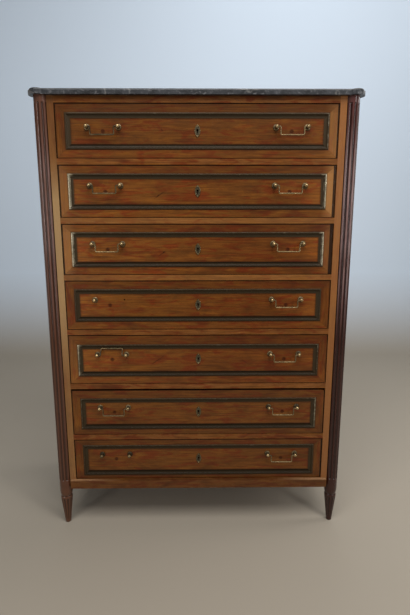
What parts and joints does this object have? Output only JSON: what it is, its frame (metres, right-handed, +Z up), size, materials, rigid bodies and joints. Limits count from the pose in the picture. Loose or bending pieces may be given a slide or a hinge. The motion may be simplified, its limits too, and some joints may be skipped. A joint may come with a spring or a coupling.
{
  "type": "semainier chest of drawers",
  "caption": "Tall walnut chest of seven long drawers with a grey marble slab, fluted corner columns, turned feet, brass panel frames, keyhole plates and bail handles.",
  "frame": {"origin": "on the floor, under the centre of the bounding box", "axes": "+X to the right as one faces the drawers, +Y to the back, +Z up; the drawer fronts face -Y"},
  "size_m": [1.124, 0.48, 1.61],
  "materials": {
    "marble": "honed, grey with pale and dark veins",
    "walnut": "waxed, reddish brown",
    "walnut_light": "waxed, worn paler",
    "mahogany": "polished, dark red",
    "inner_wood": "bare, planed",
    "moulding_brass": "dark greenish patina",
    "handle_brass": "aged, polished by use on the high spots",
    "iron": "dull, filed"
  },
  "bodies": {
    "carcass": {"marble_top": "marble", "column_left": "mahogany", "column_right": "mahogany", "front_feet": "mahogany", "front_posts": "walnut_light", "front_rails": "walnut", "side_left": "walnut", "side_right": "walnut", "rear_posts": "walnut", "back_boards": "inner_wood", "top_board": "inner_wood", "base_board": "inner_wood", "drawer_runners": "inner_wood"},
    "drawer_1": {"drawer_1_front": "walnut", "drawer_1_box": "inner_wood", "drawer_1_moulding": "moulding_brass", "drawer_1_brasses": "handle_brass"},
    "bolt_1": {"drawer_1_bolt": "iron"},
    "bail_1_left": {"drawer_1_bail_left": "handle_brass"},
    "bail_1_right": {"drawer_1_bail_right": "handle_brass"},
    "drawer_2": {"drawer_2_front": "walnut", "drawer_2_box": "inner_wood", "drawer_2_moulding": "moulding_brass", "drawer_2_brasses": "handle_brass"},
    "bolt_2": {"drawer_2_bolt": "iron"},
    "bail_2_left": {"drawer_2_bail_left": "handle_brass"},
    "bail_2_right": {"drawer_2_bail_right": "handle_brass"},
    "drawer_3": {"drawer_3_front": "walnut", "drawer_3_box": "inner_wood", "drawer_3_moulding": "moulding_brass", "drawer_3_brasses": "handle_brass"},
    "bolt_3": {"drawer_3_bolt": "iron"},
    "bail_3_left": {"drawer_3_bail_left": "handle_brass"},
    "bail_3_right": {"drawer_3_bail_right": "handle_brass"},
    "drawer_4": {"drawer_4_front": "walnut", "drawer_4_box": "inner_wood", "drawer_4_moulding": "moulding_brass", "drawer_4_brasses": "handle_brass"},
    "bolt_4": {"drawer_4_bolt": "iron"},
    "bail_4_right": {"drawer_4_bail_right": "handle_brass"},
    "drawer_5": {"drawer_5_front": "walnut", "drawer_5_box": "inner_wood", "drawer_5_moulding": "moulding_brass", "drawer_5_brasses": "handle_brass"},
    "bolt_5": {"drawer_5_bolt": "iron"},
    "bail_5_left": {"drawer_5_bail_left": "handle_brass"},
    "bail_5_right": {"drawer_5_bail_right": "handle_brass"},
    "drawer_6": {"drawer_6_front": "walnut", "drawer_6_box": "inner_wood", "drawer_6_moulding": "moulding_brass", "drawer_6_brasses": "handle_brass"},
    "bolt_6": {"drawer_6_bolt": "iron"},
    "bail_6_left": {"drawer_6_bail_left": "handle_brass"},
    "bail_6_right": {"drawer_6_bail_right": "handle_brass"},
    "drawer_7": {"drawer_7_front": "walnut", "drawer_7_box": "inner_wood", "drawer_7_moulding": "moulding_brass", "drawer_7_brasses": "handle_brass"},
    "bolt_7": {"drawer_7_bolt": "iron"},
    "bail_7_right": {"drawer_7_bail_right": "handle_brass"}
  },
  "joints": [
    {"name": "drawer_1_slide", "type": "slide", "parent": "carcass", "child": "drawer_1", "axis": [0, -1, 0], "range_m": [0, 0.32]},
    {"name": "bolt_1_slide", "type": "slide", "parent": "drawer_1", "child": "bolt_1", "axis": [0, 0, 1], "range_m": [0, 0.007]},
    {"name": "bail_1_left_swing", "type": "hinge", "parent": "drawer_1", "child": "bail_1_left", "pos_m": [-0.32, -0.23, 1.491], "axis": [-1, 0, 0], "range_deg": [-30, 205]},
    {"name": "bail_1_right_swing", "type": "hinge", "parent": "drawer_1", "child": "bail_1_right", "pos_m": [0.32, -0.23, 1.491], "axis": [-1, 0, 0], "range_deg": [-30, 205]},
    {"name": "drawer_2_slide", "type": "slide", "parent": "carcass", "child": "drawer_2", "axis": [0, -1, 0], "range_m": [0, 0.32]},
    {"name": "bolt_2_slide", "type": "slide", "parent": "drawer_2", "child": "bolt_2", "axis": [0, 0, 1], "range_m": [0, 0.007]},
    {"name": "bail_2_left_swing", "type": "hinge", "parent": "drawer_2", "child": "bail_2_left", "pos_m": [-0.32, -0.23, 1.3], "axis": [-1, 0, 0], "range_deg": [-30, 205]},
    {"name": "bail_2_right_swing", "type": "hinge", "parent": "drawer_2", "child": "bail_2_right", "pos_m": [0.32, -0.23, 1.3], "axis": [-1, 0, 0], "range_deg": [-30, 205]},
    {"name": "drawer_3_slide", "type": "slide", "parent": "carcass", "child": "drawer_3", "axis": [0, -1, 0], "range_m": [0, 0.32]},
    {"name": "bolt_3_slide", "type": "slide", "parent": "drawer_3", "child": "bolt_3", "axis": [0, 0, 1], "range_m": [0, 0.007]},
    {"name": "bail_3_left_swing", "type": "hinge", "parent": "drawer_3", "child": "bail_3_left", "pos_m": [-0.32, -0.23, 1.101], "axis": [-1, 0, 0], "range_deg": [-30, 205]},
    {"name": "bail_3_right_swing", "type": "hinge", "parent": "drawer_3", "child": "bail_3_right", "pos_m": [0.32, -0.23, 1.101], "axis": [-1, 0, 0], "range_deg": [-30, 205]},
    {"name": "drawer_4_slide", "type": "slide", "parent": "carcass", "child": "drawer_4", "axis": [0, -1, 0], "range_m": [0, 0.32]},
    {"name": "bolt_4_slide", "type": "slide", "parent": "drawer_4", "child": "bolt_4", "axis": [0, 0, 1], "range_m": [0, 0.007]},
    {"name": "bail_4_right_swing", "type": "hinge", "parent": "drawer_4", "child": "bail_4_right", "pos_m": [0.32, -0.23, 0.9005], "axis": [-1, 0, 0], "range_deg": [-30, 205]},
    {"name": "drawer_5_slide", "type": "slide", "parent": "carcass", "child": "drawer_5", "axis": [0, -1, 0], "range_m": [0, 0.32]},
    {"name": "bolt_5_slide", "type": "slide", "parent": "drawer_5", "child": "bolt_5", "axis": [0, 0, 1], "range_m": [0, 0.007]},
    {"name": "bail_5_left_swing", "type": "hinge", "parent": "drawer_5", "child": "bail_5_left", "pos_m": [-0.32, -0.23, 0.6955], "axis": [-1, 0, 0], "range_deg": [-240, 0]},
    {"name": "bail_5_right_swing", "type": "hinge", "parent": "drawer_5", "child": "bail_5_right", "pos_m": [0.32, -0.23, 0.6955], "axis": [-1, 0, 0], "range_deg": [-30, 205]},
    {"name": "drawer_6_slide", "type": "slide", "parent": "carcass", "child": "drawer_6", "axis": [0, -1, 0], "range_m": [0, 0.32]},
    {"name": "bolt_6_slide", "type": "slide", "parent": "drawer_6", "child": "bolt_6", "axis": [0, 0, 1], "range_m": [0, 0.007]},
    {"name": "bail_6_left_swing", "type": "hinge", "parent": "drawer_6", "child": "bail_6_left", "pos_m": [-0.32, -0.23, 0.4865], "axis": [-1, 0, 0], "range_deg": [-30, 205]},
    {"name": "bail_6_right_swing", "type": "hinge", "parent": "drawer_6", "child": "bail_6_right", "pos_m": [0.32, -0.23, 0.4865], "axis": [-1, 0, 0], "range_deg": [-30, 205]},
    {"name": "drawer_7_slide", "type": "slide", "parent": "carcass", "child": "drawer_7", "axis": [0, -1, 0], "range_m": [0, 0.32]},
    {"name": "bolt_7_slide", "type": "slide", "parent": "drawer_7", "child": "bolt_7", "axis": [0, 0, 1], "range_m": [0, 0.007]},
    {"name": "bail_7_right_swing", "type": "hinge", "parent": "drawer_7", "child": "bail_7_right", "pos_m": [0.32, -0.23, 0.293], "axis": [-1, 0, 0], "range_deg": [-30, 205]}
  ]
}
